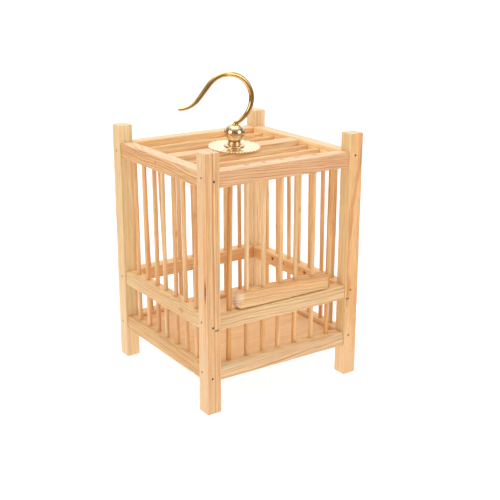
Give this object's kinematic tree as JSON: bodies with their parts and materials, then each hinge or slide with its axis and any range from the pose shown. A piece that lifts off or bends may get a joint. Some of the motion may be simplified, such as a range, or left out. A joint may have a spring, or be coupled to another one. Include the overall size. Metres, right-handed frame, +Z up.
{
  "type": "bird cage",
  "caption": "Square wooden bird cage standing on its corner posts, with round bars, a lift-up sliding front door and a brass swivel hook on the roof.",
  "frame": {"origin": "on the ground, in the middle of the feet", "axes": "+X to the right along the front, +Y from the door to the back, +Z up"},
  "size_m": [0.08, 0.08, 0.1382],
  "materials": {
    "post_pine": "sanded, oiled pale pine with fine straight grain",
    "rail_pine": "sawn and lightly sanded pale pine, cross-grain saw lines",
    "door_pine": "rounded and sanded pine",
    "cane": "round split bamboo with small nodes, satin",
    "plywood": "thin plywood, matt",
    "brass": "polished and lacquered"
  },
  "bodies": {
    "frame": {"post_front_left": "post_pine", "post_front_right": "post_pine", "post_back_left": "post_pine", "post_back_right": "post_pine", "rail_front_top": "rail_pine", "rail_front_mid": "rail_pine", "rail_front_bottom": "rail_pine", "rail_back_top": "rail_pine", "rail_back_mid": "rail_pine", "rail_back_bottom": "rail_pine", "rail_left_top": "rail_pine", "rail_left_mid": "rail_pine", "rail_left_bottom": "rail_pine", "rail_right_top": "rail_pine", "rail_right_mid": "rail_pine", "rail_right_bottom": "rail_pine", "roof_slat": "rail_pine", "floor_panel": "plywood", "left_bar_1": "cane", "left_bar_2": "cane", "left_bar_3": "cane", "left_bar_4": "cane", "left_bar_5": "cane", "left_bar_6": "cane", "left_bar_7": "cane", "right_bar_1": "cane", "right_bar_2": "cane", "right_bar_3": "cane", "right_bar_4": "cane", "right_bar_5": "cane", "right_bar_6": "cane", "right_bar_7": "cane", "back_bar_1": "cane", "back_bar_2": "cane", "back_bar_3": "cane", "back_bar_4": "cane", "back_bar_5": "cane", "back_bar_6": "cane", "back_bar_7": "cane", "front_long_bar_left": "cane", "front_long_bar_right": "cane", "front_short_bar_1": "cane", "front_short_bar_2": "cane", "front_short_bar_3": "cane", "front_short_bar_4": "cane", "front_short_bar_5": "cane", "grid_dowel_1": "cane", "grid_dowel_2": "cane", "grid_dowel_3": "cane", "grid_dowel_4": "cane", "grid_dowel_5": "cane", "hook_rosette": "brass", "hook_fitting": "brass"},
    "door": {"door_bar": "door_pine", "door_dowel_1": "cane", "door_dowel_2": "cane", "door_dowel_3": "cane", "door_dowel_4": "cane", "door_dowel_5": "cane"},
    "hook_body": {"hook": "brass"}
  },
  "joints": [
    {"name": "door_slide", "type": "slide", "parent": "frame", "child": "door", "axis": [0, 0, 1], "range_m": [0, 0.047]},
    {"name": "hook_swivel", "type": "hinge", "parent": "frame", "child": "hook_body", "pos_m": [-0.0003, 0, 0.1018], "axis": [0, -0.0523, 0.9986], "continuous": true}
  ]
}
